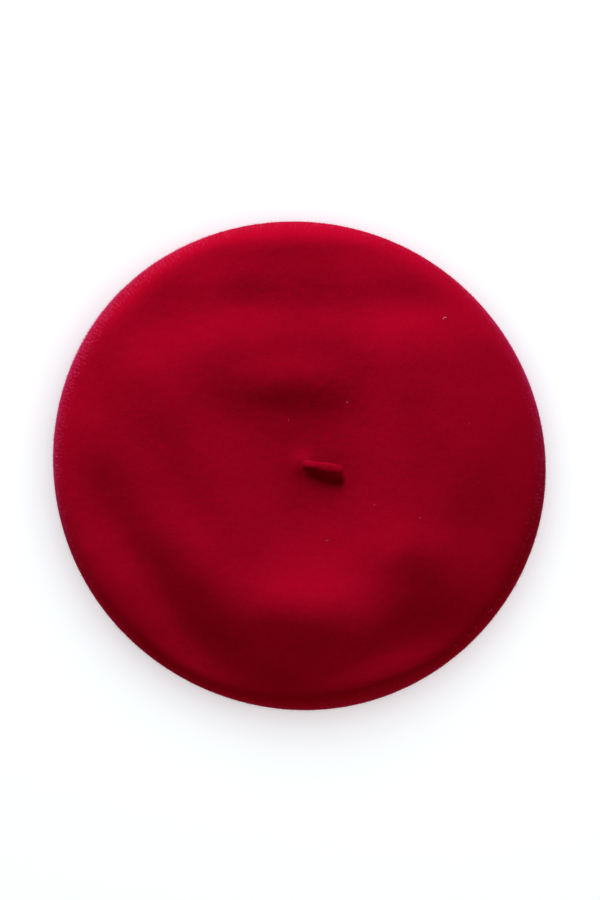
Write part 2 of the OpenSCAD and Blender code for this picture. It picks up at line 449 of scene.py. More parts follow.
def leather_material():
    """Dark brown sheepskin with grain, fine creases and paler wear."""
    n = Nodes("band_leather")
    pebble = n.ramp(n.cells(950, "DISTANCE_TO_EDGE"), 0.0, 0.25)
    crease = n.ramp(n.noise(120, 6, 0.7, 1.0), 0.42, 0.6)
    worn = n.ramp(n.noise(60, 4, 0.6), 0.5, 0.75)
    tone = n.mix(crease, colour(0.028, 0.013, 0.007), colour(0.055, 0.026, 0.014))
    tone = n.mix(n.math("MULTIPLY", worn, 0.6), tone, colour(0.12, 0.062, 0.034))
    tone = n.mix(n.ramp(pebble, 0, 0.4, 0.5, 0.0), tone, colour(0.015, 0.008, 0.005))
    relief = n.bump(pebble, 0.45, 0.12 * MM, n.bump(crease, 0.4, 0.3 * MM))
    n.surface(Base_Color=tone, Normal=relief, Roughness=n.ramp(worn, 0, 1, 0.42, 0.62),
              Specular_IOR_Level=0.45)
    return n.material


def thread_material(name="sewing_thread", dark=colour(0.12, 0.006, 0.016), light=colour(0.3, 0.02, 0.045)):
    """Twisted cotton."""
    n = Nodes(name)
    twist = n.wave("DIAGONAL", 1600, 1.0)
    n.surface(Base_Color=n.mix(twist, dark, light), Normal=n.bump(twist, 0.5, 0.08 * MM), Roughness=0.7,
              Sheen_Weight=0.3, Specular_IOR_Level=0.3)
    return n.material


def ribbon_material():
    """Black grosgrain: fine ribs across the ribbon."""
    n = Nodes("bow_grosgrain")
    rib = n.wave("X", 420, 0.3)
    # Painted sheen: paler grey flecks along the ribs stand in for their gloss
    painted_sheen = n.math("MULTIPLY", rib, n.noise(1800, 2, 0.6))
    tone = n.mix(painted_sheen, colour(0.006, 0.005, 0.007), colour(0.06, 0.054, 0.065))
    n.surface(Base_Color=tone, Normal=n.bump(rib, 0.6, 0.12 * MM), Roughness=0.5, Sheen_Weight=0.3,
              Specular_IOR_Level=0.4)
    return n.material


def label_material(name, low, high):
    """Woven tape."""
    n = Nodes(name)
    weave = n.math("MULTIPLY", n.math("ADD", n.wave("X", 1300), n.wave("Y", 1300)), 0.5)
    tone = n.mix(n.noise(150, 3), low, high)
    tone = n.mix(n.math("MULTIPLY", weave, 0.3), tone, colour(0.85, 0.83, 0.78))
    n.surface(Base_Color=tone, Normal=n.bump(weave, 0.4, 0.08 * MM), Roughness=0.55, Sheen_Weight=0.2,
              Specular_IOR_Level=0.4)
    return n.material


def floor_material():
    """Plain pale paper, which can't be seen from below."""
    n = Nodes("pale_floor")
    from_below = n.add("ShaderNodeNewGeometry").outputs["Backfacing"]
    n.surface(Base_Color=colour(0.86, 0.93, 0.96), Roughness=0.9, Specular_IOR_Level=0.1,
              Emission_Color=colour(0.9, 0.9, 1.0), Emission_Strength=0.3,
              Alpha=n.math("SUBTRACT", 1.0, from_below))
    return n.material


FELT = felt_material("wool_felt", mid=FELT_MID, deep=FELT_DEEP, pale=FELT_PALE, sheen=0.28)
NAP = felt_material("wool_nap", mid=colour(0.30, 0.002, 0.014), deep=FELT_MID,
                    pale=colour(0.42, 0.02, 0.07), sheen=0.5)
# Pale fibres for the rim's edge: a painted highlight of fuzz lit from behind
HIGHLIGHT_NAP = felt_material("wool_nap_painted_highlight", mid=colour(0.62, 0.06, 0.18), deep=colour(0.42, 0.02, 0.09),
                         pale=colour(0.8, 0.16, 0.32), sheen=0.5)
SATIN = satin_material()
LEATHER = leather_material()
THREAD = thread_material()
RIBBON = ribbon_material()
LABEL = label_material("label_tape", colour(0.55, 0.52, 0.46), colour(0.72, 0.69, 0.63))
LABEL_EDGE = label_material("label_border", colour(0.12, 0.02, 0.03), colour(0.2, 0.03, 0.05))
LINT = thread_material("lint", colour(0.5, 0.12, 0.15), colour(0.7, 0.3, 0.33))

# ---------------- felt body
FELT_STEP = 1.5 * MM
FELT_INSIDE_STEP = 3.0 * MM
FELT_COLUMNS = 384
PUCKERS = 40
BELLY_R = 111 * MM               # the underside's flat part hangs a little unevenly round this radius


def underside_ripple(row, theta):
    """Small gathers in the felt just outside the head opening, always upwards from the flat underside."""
    low = 1 - smoothstep(row[1] / (8 * MM))
    near_edge = math.exp(-((row[0] - FELT_EDGE_R) / (8 * MM)) ** 2)
    belly = math.exp(-((row[0] - BELLY_R) / (10 * MM)) ** 2)
    gathers = 0.35 + 0.65 * (0.5 + 0.5 * np.sin(PUCKERS * theta + 1.8 * np.sin(3 * theta))) ** 1.5
    slow = 0.5 + 0.5 * np.sin(5 * theta + 0.4)
    return low * (0.9 * MM * near_edge * gathers + 0.5 * MM * belly * slow)


def felt_grain(points):
    """Slight unevenness of fulled wool, one height for each point."""
    lumps = [noise.noise(Vector(p) * 55) * 0.28 + noise.noise(Vector(p) * 210) * 0.09 for p in points]
    return MM * np.array(lumps)


def felt_rows():
    """From the middle of the inside, round the edge of the head opening, to the middle of the outside."""
    edge_centre = FELT_EDGE_R + FELT_T / 2
    inside = layer(cap_section(edge_centre, FELT_INSIDE_STEP)[::-1], FELT_T)
    outside = layer(cap_section(edge_centre, FELT_STEP), 0)
    turn = np.linspace(math.pi / 2, 1.5 * math.pi, 9)[1:-1]
    edge = np.zeros((len(turn), 5))
    edge[:, 0] = edge_centre + FELT_T / 2 * np.cos(turn)
    edge[:, 1] = FELT_T / 2 * (1 + np.sin(turn))
    return np.concatenate([inside, edge, outside])


def felt_points(row, theta):
    points = on_layer(row, theta)
    grain = felt_grain(points) if row[4] == 0 else 0
    points[:, 2] += underside_ripple(row, theta) + smoothstep((row[1] - 4 * MM) / (12 * MM)) * grain
    return points


def make_felt():
    theta = np.arange(FELT_COLUMNS) * TAU / FELT_COLUMNS
    rows = felt_rows()[1:-1]
    vertices = np.concatenate([felt_points(row, theta) for row in rows])
    felt = add_piece("felt", *closed_grid(list(vertices), len(rows), FELT_COLUMNS), FELT)
    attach(felt, CAP)
    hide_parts("felt_body")
    middle = layer(cap_section(FELT_EDGE_R, FELT_STEP), FELT_T / 2)
    return felt


# ---------------- nap
LEFT_FRONT = math.radians(138)
FIBRES = 17000                   # of each kind
STALK_FIBRES = 900
FIBRE_SIDES = 3


def fibre_mesh(roots, normals, lengths, thickness, lie_flat):
    """Curved closed spikes: a three-sided base, a three-sided middle and a point for each root."""
    count = len(roots)
    random_way = rng.normal(size=(count, 3))
    tangent = random_way - normals * np.sum(random_way * normals, axis=1, keepdims=True)
    tangent /= np.linalg.norm(tangent, axis=1, keepdims=True)
    side = np.cross(normals, tangent)
    lie = lie_flat * rng.uniform(0.4, 1.0, (count, 1))
    curl = rng.normal(0, 0.35, (count, 1))
    lengths = lengths[:, None]
    base = roots - normals * 0.08 * MM
    middle = base + lengths * (0.5 * normals * (1 - 0.5 * lie) + 0.5 * tangent * lie)
    tip = middle + lengths * (0.5 * normals * (1 - lie) + 0.5 * tangent * lie + side * curl)
    rings = []
    for centre, width in ((base, thickness), (middle, 0.75 * thickness)):
        for angle in turns(FIBRE_SIDES):
            spoke = math.cos(angle) * side + math.sin(angle) * np.cross(side, tangent)
            rings.append(centre + width * spoke)
    vertices = np.stack(rings + [tip], axis=1).reshape(-1, 3)
    tip_index = 2 * FIBRE_SIDES
    shape = grid_faces(2, FIBRE_SIDES)
    shape += [(FIBRE_SIDES + k, FIBRE_SIDES + (k + 1) % FIBRE_SIDES, tip_index) for k in range(FIBRE_SIDES)]
    shape += [tuple(reversed(range(FIBRE_SIDES)))]
    faces = [tuple((tip_index + 1) * i + index for index in face) for i in range(count) for face in shape]
    return vertices, faces


def surface_samples(piece, count, keep):
    """Random points on a piece's faces, chosen by area times keep(centres, normals), and their normals."""
    mesh = piece.data
    corners = np.array([polygon.vertices[:3] for polygon in mesh.polygons])
    centres = np.array([polygon.center for polygon in mesh.polygons])
    normals = np.array([polygon.normal for polygon in mesh.polygons])
    areas = np.array([polygon.area for polygon in mesh.polygons])
    positions = np.array([vertex.co for vertex in mesh.vertices])
    weights = areas * keep(centres, normals)
    chosen = rng.choice(len(corners), size=count, p=weights / weights.sum())
    mix = rng.dirichlet((1, 1, 1), count)
    picked = positions[corners[chosen]]
    return np.sum(picked * mix[:, :, None], axis=1), normals[chosen]


def on_outside(centres, normals):
    """1 on the outside of the cap, clear of the floor, and 0 elsewhere."""
    radius = np.hypot(centres[:, 0], centres[:, 1])
    rim_xy = centres[:, :2] / radius[:, None] * RIM_CENTRE[0]
    rim_middle = np.column_stack([rim_xy, np.full(len(centres), RIM_R)])
    from_rim_middle = np.sum((centres - rim_middle) * normals, axis=1)
    outward = np.where(radius > 80 * MM, from_rim_middle, normals[:, 2]) > 0
    return outward * (centres[:, 2] > 1.2 * MM)


def on_rim(centres, normals):
    """The outer turn of the rim."""
    radius = np.hypot(centres[:, 0], centres[:, 1])
    return on_outside(centres, normals) * smoothstep((radius - 122 * MM) / (10 * MM))


def on_edge(centres, normals):
    """The widest part of the rim, most of all at the left front, where pale fibres give a painted highlight
    of backlit fuzz.
    """
    radius = np.hypot(centres[:, 0], centres[:, 1])
    from_left_front = np.arctan2(centres[:, 1], centres[:, 0]) - LEFT_FRONT
    highlight_share = 0.22 + np.exp(-(from_left_front / 0.5) ** 2)
    return on_outside(centres, normals) * smoothstep((radius - 131 * MM) / (6 * MM)) * highlight_share


def make_nap(felt):
    """Loose fibres of the wool, and a closer fuzz of them round the rim and along its edge."""
    kinds = (
        ("felt_nap", on_outside, NAP, 1.3, 0.035, 0.95),
        ("rim_fuzz", on_rim, NAP, 1.3, 0.04, 0.75),
        # The edge fuzz is coloured pale as a painted highlight, massed at the left front
        ("edge_fuzz", on_edge, HIGHLIGHT_NAP, 1.8, 0.05, 0.6),
    )
    for name, where, material, longest, thickness, lie_flat in kinds:
        roots, normals = surface_samples(felt, FIBRES, where)
        lengths = rng.uniform(0.35, longest, len(roots)) ** 1.3 * MM
        vertices, faces = fibre_mesh(roots, normals, lengths, thickness * MM, lie_flat)
        nap = add_piece(name, vertices, faces, material)
        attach(nap, CAP)


# Lint on the crown: (x, y, length, direction in degrees, curl in degrees), in mm
LINT_THREADS = [
    (84, 83, 3.2, 120, 150),
    (67, -30, 1.6, 20, 60),
    (42, -23, 1.4, 80, -50),
    (15, -42, 1.8, -30, 70),
    (-6, 25, 1.3, 50, 40),
    (28, 35, 1.5, 160, -60),
]


def make_lint():
    parts = []
    for x, y, length, direction, curl in LINT_THREADS:
        path = []
        place = np.array([x, y]) * MM
        steps = 10
        for i in range(steps + 1):
            heading = math.radians(direction + curl * i / steps)
            place = place + length * MM / steps * np.array([math.cos(heading), math.sin(heading)])
            lift = (0.3 + 0.35 * math.sin(math.pi * i / steps)) * MM
            path.append(Vector(crown_point(place[0], place[1], 0)) + UP * lift)
        parts.append(thread_parts(path, 0.04 * MM * length, 5))
    lint = add_piece("lint", *join_parts(parts), LINT)
    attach(lint, CAP)


# ---------------- stalk
STALK_AXIS = STALK_HINGE.cross(UP) * math.sin(STALK_LEAN) + Vector((0, 0, math.cos(STALK_LEAN)))
STALK_START = -1.5 * MM          # where its middle line begins, along its way from the pivot
STALK_REACH = STALK_LENGTH + 1.3 * MM
STALK_SUNK = 2.6 * MM            # how far under the crown's outside the line begins
STALK_CLIMB = 5.65 * MM          # and how far it climbs from there
TIP_FROM = 0.88                  # share of the length at which the tip begins to round off


def stalk_line(steps):
    """The middle of the stalk: up out of the crown, over near the pivot, and out along the crown."""
    way = Vector((STALK_AXIS[0], STALK_AXIS[1], 0)).normalized()
    points = []
    for i in range(steps + 1):
        t = i / steps
        place = STALK_PIVOT + way * (STALK_START + STALK_REACH * t)
        above_crown = STALK_CLIMB * (1 - math.exp(-t / 0.2)) - STALK_SUNK
        surface = crown_point(place[0], place[1], 0)[2]
        points.append(Vector((place[0], place[1], surface + above_crown)))
    return points


def make_stalk():
    """The stalk, flared at its root and thicker towards its rounded tip, and its nap."""
    steps, sides = 56, 32
    line = stalk_line(steps)
    vertices = []
    side = -STALK_HINGE
    for i, point in enumerate(line):
        t = i / steps
        rise = way_at(line, i).cross(side)
        flare = 0.8 * math.exp(-(t / 0.15) ** 2)
        swell = 1.9 + 0.8 * smoothstep((t - 0.1) / 0.55) - 0.3 * smoothstep((t - 0.75) / 0.25)
        round_tip = math.sqrt(max(0.0, 1 - max(0.0, (t - TIP_FROM) / (1 - TIP_FROM)) ** 2.2))
        width = (swell * round_tip + flare) * MM
        thickness = (0.52 * swell * round_tip + 0.5 * flare) * MM
        for angle in turns(sides):
            lump = 1 + 0.12 * noise.noise(Vector((2.5 * math.cos(angle), 2.5 * math.sin(angle), 8 * t)))
            flat_top = 1 - 0.18 * max(0, math.sin(angle)) ** 2
            offset = side * width * math.cos(angle) + rise * thickness * math.sin(angle) * flat_top
            vertices.append(point + offset * lump)
    stalk = add_piece("felt_stalk", *closed_grid(vertices, len(line), sides), FELT)
    roots, normals = surface_samples(stalk, STALK_FIBRES, lambda centres, _: centres[:, 2] > STALK_PIVOT[2])
    fuzz_lengths = rng.uniform(0.3, 1.0, len(roots)) * MM
    fuzz = add_piece("stalk_nap", *fibre_mesh(roots, normals, fuzz_lengths, 0.035 * MM, 0.8), FELT)
    for piece in (stalk, fuzz):
        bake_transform(piece)
    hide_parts("stalk")


def make_stalk_root():
    """The felt button under the crown that the stalk is sewn to, and its stitches."""
    edge_r = 0.45 * MM
    middle_z = root_low[2] + edge_r
    button_r = (root_high[0] - root_low[0]) / 2
    columns, rows = 48, []
    for turn in np.linspace(0, math.pi, 13):
        rows.append((button_r - edge_r + edge_r * math.sin(turn), middle_z - edge_r * math.cos(turn)))
    vertices = []
    for radius, height in rows:
        for angle in turns(columns):
            edge = radius * (1 + 0.03 * math.sin(5 * angle) + 0.015 * math.sin(11 * angle))
            vertices.append(Vector((STALK_PIVOT[0], STALK_PIVOT[1], 0)) + polar(edge, angle, height))
    button = closed_grid(vertices, len(rows), columns)
    core = tube_parts([(STALK_PIVOT[0], STALK_PIVOT[1], middle_z + h * MM) for h in (0, 1, 2, 3)],
                      [2.3 * MM] * 4, 24, up=Vector((0, 1, 0)))
    root = add_piece("stalk_root_felt", *join_parts([button, core]), FELT)
    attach(root, CAP)
    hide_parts("stalk_root")
    centre = Vector((STALK_PIVOT[0], STALK_PIVOT[1], middle_z - 0.5 * MM))
    threads = []
    for angle in turns(10):
        way = polar(1, angle, 0)
        path = [centre + way * button_r * (0.45 + 0.4 * t) - Vector((0, 0, 0.14 * MM * math.sin(math.pi * t)))
                for t in (0, 0.25, 0.5, 0.75, 1)]
        threads.append(thread_parts(path, 0.2 * MM))
    stitches = add_piece("stalk_root_threads", *join_parts(threads), THREAD)
    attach(stitches, CAP)
    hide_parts("stalk_stitches")


# ---------------- lining
LINING_COLUMNS = 300
LINING_STEP = 2.4 * MM
GATHERS = 46


def gather(theta, sharpness, phase):
    """Uneven gathers round the cap, from 0 to 1."""
    wave = 0.5 + 0.5 * np.sin(GATHERS * theta + 2.2 * np.sin(4 * theta + phase) + phase)
    strength = 0.65 + 0.35 * np.sin(7 * theta + 2 * phase)
    return wave ** sharpness * strength


def lining_rise(row, theta):
    """How far the satin stands away from the felt, into the cap."""
    radius = row[0]
    at_seam = math.exp(-((radius - SEAM_R) / (9 * MM)) ** 2) * (row[1] > RIM_R)
    at_edge = math.exp(-((radius - LINING_EDGE_R) / (12 * MM)) ** 2) * (row[1] <= RIM_R)
    slack = 0.12 * MM * np.sin(3 * theta + 60 * radius) * (row[1] > RIM_R) * (radius > 70 * MM)
    return 0.4 * MM * at_seam * gather(theta, 1.5, 0.3) + 0.9 * MM * at_edge * gather(theta, 1.2, 1.1) + slack


def lining_points(rows, theta):
    return np.concatenate([on_layer(row, theta, lining_rise(row, theta)) for row in rows])


def make_lining_top():
    theta = np.arange(LINING_COLUMNS) * TAU / LINING_COLUMNS
    section = cut_section(cap_section(FELT_EDGE_R, LINING_STEP), 0.5 * MM, SEAM_R - 0.5 * MM, True)
    rows = np.concatenate([layer(section[::-1], LINING_IN), layer(section, LINING_OUT)])
    vertices = list(lining_points(rows, theta))
    lining = add_piece("lining_crown", *closed_grid(vertices, len(rows), LINING_COLUMNS), SATIN)
    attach(lining, CAP)
    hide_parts("lining_top")


def make_lining_side():
    theta = np.arange(LINING_COLUMNS) * TAU / LINING_COLUMNS
    section = cut_section(cap_section(LINING_EDGE_R, LINING_STEP), SEAM_R + 0.5 * MM, HAT_R, False)
    rows = np.concatenate([layer(section, LINING_OUT), layer(section[::-1], LINING_IN)])
    faces = grid_faces(len(rows), LINING_COLUMNS, wrap_rows=True)
    lining = add_piece("lining_rim", lining_points(rows, theta), faces, SATIN)
    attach(lining, CAP)
    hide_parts("lining_side")


def seam_point(theta):
    """The middle of the piping at an angle."""
    return Vector(crown_point(SEAM_R * math.cos(theta), SEAM_R * math.sin(theta), LINING_IN + 0.45 * MM))


def make_lining_seam():
    """A piped seam with slanting stitches over it."""
    steps, sides, crossings = 360, 8, 180
    piping_r = 0.34 * MM
    ring = []
    for theta in turns(steps):
        centre = seam_point(theta)
        way = polar(1, theta, 0)
        for angle in turns(sides):
            ring.append(centre + piping_r * (way * math.cos(angle) + Vector((0, 0, math.sin(angle)))))
    parts = [(ring, grid_faces(steps, sides, wrap_rows=True))]
    for i in range(crossings):
        path = []
        for t in (-1, -0.5, 0, 0.5, 1):
            theta = TAU * (i + 0.3 * t) / crossings
            low = Vector((0, 0, -0.3 * MM * (1 - 0.8 * t * t)))
            path.append(seam_point(theta) + polar(0.55 * MM * t, theta, 0) + low)
        parts.append(thread_parts(path, 0.13 * MM, 5))
    seam = add_piece("lining_piping", *join_parts(parts), THREAD)
    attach(seam, CAP)
    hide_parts("lining_seam")


# ---------------- leather band
BAND_STEPS = 440
BAND_BACK = -math.pi / 2
BAND_SLIT = 0.25 * MM / HEAD_R   # half the angle of the gap where its ends meet
PRESSED_LINE = 2.4               # mm below the band's top


def band_outline():
    """Section of the band as (radius, height): a rolled lower edge, a pressed line and a thin rounded top."""
    roll_r = 0.75 * MM
    roll_centre = (HEAD_R + 0.7 * MM, BAND_BOTTOM + roll_r)
    outline = []
    for turn in np.linspace(math.pi, TAU, 12):
        outline.append((roll_centre[0] + roll_r * math.cos(turn), roll_centre[1] + roll_r * math.sin(turn)))
    outer_heights = np.linspace(BAND_BOTTOM + 2.2 * MM, BAND_TOP - 1.2 * MM, 9)
    outline += [(BAND_OUT_R - 0.05 * MM, height) for height in outer_heights]
    top_r, top_z = HEAD_R + 0.62 * MM, BAND_TOP - 0.55 * MM
    for turn in np.linspace(0, math.pi, 9):
        outline.append((top_r + 0.5 * MM * math.cos(turn), top_z + 0.5 * MM * math.sin(turn)))
    for drop in (1.6, 2.2, PRESSED_LINE, 2.6, 3.2, 6, 9, 12, 15, 18, 21, 23.5, 25.2, 25.9, 26.4):
        pressed = 0.16 * MM if drop == PRESSED_LINE else 0.0
        outline.append((HEAD_R + 0.08 * MM + pressed, BAND_TOP - drop * MM))
    return outline


def make_band():
    """The leather band, a little wavy towards its top and puckered by the stitches along its lower edge."""
    outline = band_outline()
    vertices = []
    for i in range(BAND_STEPS + 1):
        theta = BAND_BACK + BAND_SLIT + (TAU - 2 * BAND_SLIT) * i / BAND_STEPS
        for radius, height in outline:
            share = (height - BAND_BOTTOM) / (BAND_TOP - BAND_BOTTOM)
            lean = 0.3 * MM * share * math.sin(7 * theta + 1) + 0.15 * MM * share * math.sin(17 * theta)
            pucker = 0.12 * MM * (1 - share) ** 3 * math.sin(STITCH_COUNT * theta)
            vertices.append(polar(radius + min(0.3 * MM, lean) - 0.1 * MM * share + pucker, theta, height))
    band = add_piece("leather_band", *closed_grid(vertices, BAND_STEPS + 1, len(outline)), LEATHER)
    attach(band, CAP)
    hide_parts("sweatband")


# One stitch from inside the band, under its edge and up behind the felt's: (mm outside HEAD_R, height in mm)
STITCH_PROFILE = [
    (-0.12, 3.3), (-0.3, 2.5), (-0.25, 1.5), (0.3, 0.75), (1.2, 0.42),
    (2.2, 0.38), (3.3, 0.45), (4.4, 0.75), (5.0, 1.3),
]
STITCH_SLANT = 0.016             # radians from one end of a stitch to the other


def make_band_stitches():
    """Overcast stitches that hold the band's lower edge to the edge of the felt."""
    parts = []
    for i in range(STITCH_COUNT):
        theta = TAU * (i + 0.5) / STITCH_COUNT + 0.012 * math.sin(7.3 * i)
        path = []
        for k, (out, height) in enumerate(STITCH_PROFILE):
            turn = theta + STITCH_SLANT * (k / (len(STITCH_PROFILE) - 1) - 0.5)
            path.append(polar(HEAD_R + out * MM, turn, height * MM))
        parts.append(thread_parts(path, 0.34 * MM, 8))
    stitches = add_piece("band_threads", *join_parts(parts), THREAD)
    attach(stitches, CAP)
    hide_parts("sweatband_stitches")


def make_band_joint():
    """The leather patch behind the ends of the band: a rounded rectangle that follows the band."""
    middle_r = BAND_OUT_R + 0.45 * MM
    half_w = (joint_high[0] - joint_low[0]) / 2
    middle_z = (joint_low[2] + joint_high[2]) / 2
    half_h = (joint_high[2] - joint_low[2]) / 2
    outline = []
    for turn in turns(40):
        outline.append((half_w * math.copysign(abs(math.cos(turn)) ** 0.25, math.cos(turn)),
                        half_h * math.copysign(abs(math.sin(turn)) ** 0.25, math.sin(turn))))
    # Through its thickness: depth in mm and share of the full outline
    levels = ((-0.3, 0.9), (-0.34, 0.96), (-0.2, 1), (0.2, 1), (0.34, 0.96), (0.3, 0.9))
    vertices = []
    for depth, share in levels:
        for across, up in outline:
            theta = BAND_BACK + across * share / middle_r
            vertices.append(polar(middle_r + depth * MM, theta, middle_z + up * share))
    patch = add_piece("leather_patch", *closed_grid(vertices, len(levels), len(outline)), LEATHER)
    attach(patch, CAP)
    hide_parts("sweatband_joint")


# ---------------- ribbon bow
RIBBON_W = loops_high[2] - loops_low[2]
RIBBON_T = 0.5 * MM
LOOP_STEPS = 32
TAIL_STEPS = 16
BOW_MIDDLE = Vector((0, (knot_low[1] + knot_high[1]) / 2, (loops_low[2] + loops_high[2]) / 2))


def ribbon_parts(points, widths, notch=0.0):
    """A flat upright ribbon along points. notch cuts a V into its far end."""
    segments = 8
    vertices = []
    for i, point in enumerate(points):
        ahead = way_at(points, i)
        wide = (UP - ahead * UP.dot(ahead)).normalized()
        face = ahead.cross(wide)
        cut = notch if i == len(points) - 1 else 0.0
        for level in (0.5, -0.5):
            for k in range(segments + 1):
                u = (k / segments - 0.5) * (1 if level > 0 else -1)
                cupped = 0.25 * RIBBON_T * math.cos(math.pi * u)
                back = ahead * cut * (1 - 2 * abs(u))
                vertices.append(point + wide * u * widths[i] + face * (level * RIBBON_T + cupped) - back)
    return closed_grid(vertices, len(points), 2 * (segments + 1))


def loop_points(side):
    """The middle line of one loop, out from the knot and back, a little puffed."""
    reach = loops_high[0] - 0.4 * RIBBON_T
    depth = (loops_high[1] - loops_low[1]) / 2 - RIBBON_T / 2
    start = 0.9 * MM
    points = []
    for i in range(LOOP_STEPS + 1):
        t = i / LOOP_STEPS
        out = math.sin(math.pi * t) ** 0.75
        bulge = depth * math.sin(TAU * t) * (0.6 + 0.4 * out)
        points.append(BOW_MIDDLE + Vector((side * (start + (reach - start) * out), -side * bulge, 0)))
    return points


def tail_points(side):
    """The middle line of one tail, out and a little down in front of the loops."""
    start = Vector((side * 0.6 * MM, tails_high[1] - 0.3 * MM, (tails_low[2] + tails_high[2]) / 2 + 0.9 * MM))
    points = []
    for i in range(TAIL_STEPS + 1):
        t = i / TAIL_STEPS
        ripple = 0.25 * MM * math.sin(2.2 * math.pi * t)
        points.append(start + Vector((side * 11.2 * MM * t, ripple, -2.6 * MM * t ** 1.4)))
    return points


def knot_parts():
    """The ribbon's knot: an upright barrel with shallow creases round it."""
    rings, sides = 17, 36
    vertices = []
    for i in range(rings):
        share = i / (rings - 1) * 2 - 1
        barrel = math.sqrt(max(0.02, 1 - 0.55 * share * share - 0.43 * share ** 12))
        for turn in turns(sides):
            crease = 1 - 0.07 * math.cos(9 * share + 0.8 * math.sin(turn))
            vertices.append(BOW_MIDDLE + polar(1.85 * MM * barrel * crease, turn, share * RIBBON_W * 0.46))
    return closed_grid(vertices, rings, sides)


def make_bow():
    """The ribbon bow at the back of the band: two loops, two tails and the knot."""
    loops, tails = [], []
    for side in (-1, 1):
        shares = [i / LOOP_STEPS for i in range(LOOP_STEPS + 1)]
        widths = [RIBBON_W * (0.62 + 0.36 * math.sin(math.pi * t) ** 0.6) for t in shares]
        loops.append(ribbon_parts(loop_points(side), widths))
        widths = [(2.2 + 1.8 * min(1, 2 * i / TAIL_STEPS)) * MM for i in range(TAIL_STEPS + 1)]
        tails.append(ribbon_parts(tail_points(side), widths, notch=1.4 * MM))
    for name, node, parts in (("bow_loop_ribbon", "bow_loops", join_parts(loops)),
                              ("bow_knot_ribbon", "bow_knot", knot_parts()),
                              ("bow_tail_ribbon", "bow_tails", join_parts(tails))):
        piece = add_piece(name, *parts, RIBBON)
        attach(piece, CAP)
        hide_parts(node)


# ---------------- labels
def label_grid(across, along, surface, thickness=0.4 * MM):
    """A closed thin sheet. surface(u, v) gives a point and its front's direction, u and v from 0 to 1."""
    fronts, backs = [], []
    for j in range(along + 1):
        for i in range(across + 1):
            point, normal = surface(i / across, j / along)
            fronts.append(point + normal * thickness / 2)
            backs.append(point - normal * thickness / 2)
    count = len(fronts)
    faces = grid_faces(along + 1, across + 1, wrap_columns=False)
    faces += [tuple(count + index for index in face[::-1]) for face in faces]
    rim = list(range(across + 1)) + [j * (across + 1) + across for j in range(1, along + 1)]
    rim += [along * (across + 1) + i for i in range(across - 1, -1, -1)]
    rim += [j * (across + 1) for j in range(along - 1, 0, -1)]
    for a, b in zip(rim, rim[1:] + rim[:1]):
        faces.append((a, count + a, count + b, b))
    return fronts + backs, faces


def paint_border(piece, across, along, edge_across, edge_along):
    """Gives the faces of a ring inside a label's edge the second material."""
    for index, polygon in enumerate(piece.data.polygons):
        if index >= 2 * across * along:
            break
        i, j = index % across, index // across % along
        near = min(i, across - 1 - i) - edge_across, min(j, along - 1 - j) - edge_along
        if min(near) == 0:
            polygon.material_index = 1


def make_maker_label():
    """A plain woven label on the lining, stitched along its short ends."""
    across, along = 50, 24
    width, depth = maker_high[0] - maker_low[0], maker_high[1] - maker_low[1]
    middle_y = (maker_low[1] + maker_high[1]) / 2

    def surface(u, v):
        x, y = (u - 0.5) * width, middle_y + (v - 0.5) * depth
        puff = 0.25 * MM * (math.sin(math.pi * u) * math.sin(math.pi * v)) ** 0.5
        wave = 0.12 * MM * math.sin(9 * u + 3 * v)
        point = Vector(crown_point(x, y, (LABEL_OUT + LABEL_IN) / 2 + puff + wave))
        return point, Vector((0, 0, -1))

    label = add_piece("makers_label", *label_grid(across, along, surface), LABEL, LABEL_EDGE)
    paint_border(label, across, along, 3, 2)
    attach(label, CAP)
    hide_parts("maker_label")
    parts = []
    for side in (-1, 1):
        for k in range(5):
            path = []
            for t in (0, 0.2, 0.4, 0.6, 0.8, 1):
                y = middle_y + (k / 4 - 0.5) * (depth - 4.8 * MM) + (t - 0.5) * 2.6 * MM
                lift = 0.28 * MM * math.sin(math.pi * t)
                path.append(crown_point(side * (width / 2 - 1.6 * MM), y, LABEL_IN + lift))
            parts.append(thread_parts(path, 0.2 * MM))
    stitches = add_piece("makers_label_threads", *join_parts(parts), THREAD)
    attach(stitches, CAP)
    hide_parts("maker_label_stitches")


def sewn_edge(node):
    """The hinge's direction and the middle of a hanging label's sewn edge."""
    joint = joints[node + "_swing"]
    axis = Vector(joint["axis"]).normalized()
    low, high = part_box(node)
    pivot = Vector(joint["pos_m"])
    return axis, pivot + axis * ((low + high) / 2 - pivot).dot(axis)


def make_hanging_label(name, node, width, length, bow_out, set_out=0.0):
    """A tape label that hangs from its rolled upper edge and turns on it. set_out is its angle at rest."""
    axis, top = sewn_edge(node)
    down = (axis * axis[2] - UP).normalized()
    down = down * math.cos(set_out) + axis.cross(down) * math.sin(set_out)
    front = axis.cross(down)
    across, along = 18, 26
    rolled = 0.2                 # share of the grid that the rolled edge takes
    roll_r = 0.32 * MM

    def surface(u, v):
        turn = 1.6 * math.pi * (1 - min(1, v / rolled))
        outward = front * math.cos(turn) - down * math.sin(turn)
        hang = max(0.0, (v - rolled) / (1 - rolled)) * length
        curl = bow_out * math.sin(math.pi * hang / length) * (0.6 + 0.4 * u)
        point = top + axis * (u - 0.5) * width + down * hang + front * curl + roll_r * outward
        return point, outward

    label = add_piece(name, *label_grid(across, along, surface, 0.3 * MM), LABEL, LABEL_EDGE)
    paint_border(label, across, along, 1, 7)
    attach(label, node)         # the body has the node's name
    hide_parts(node)


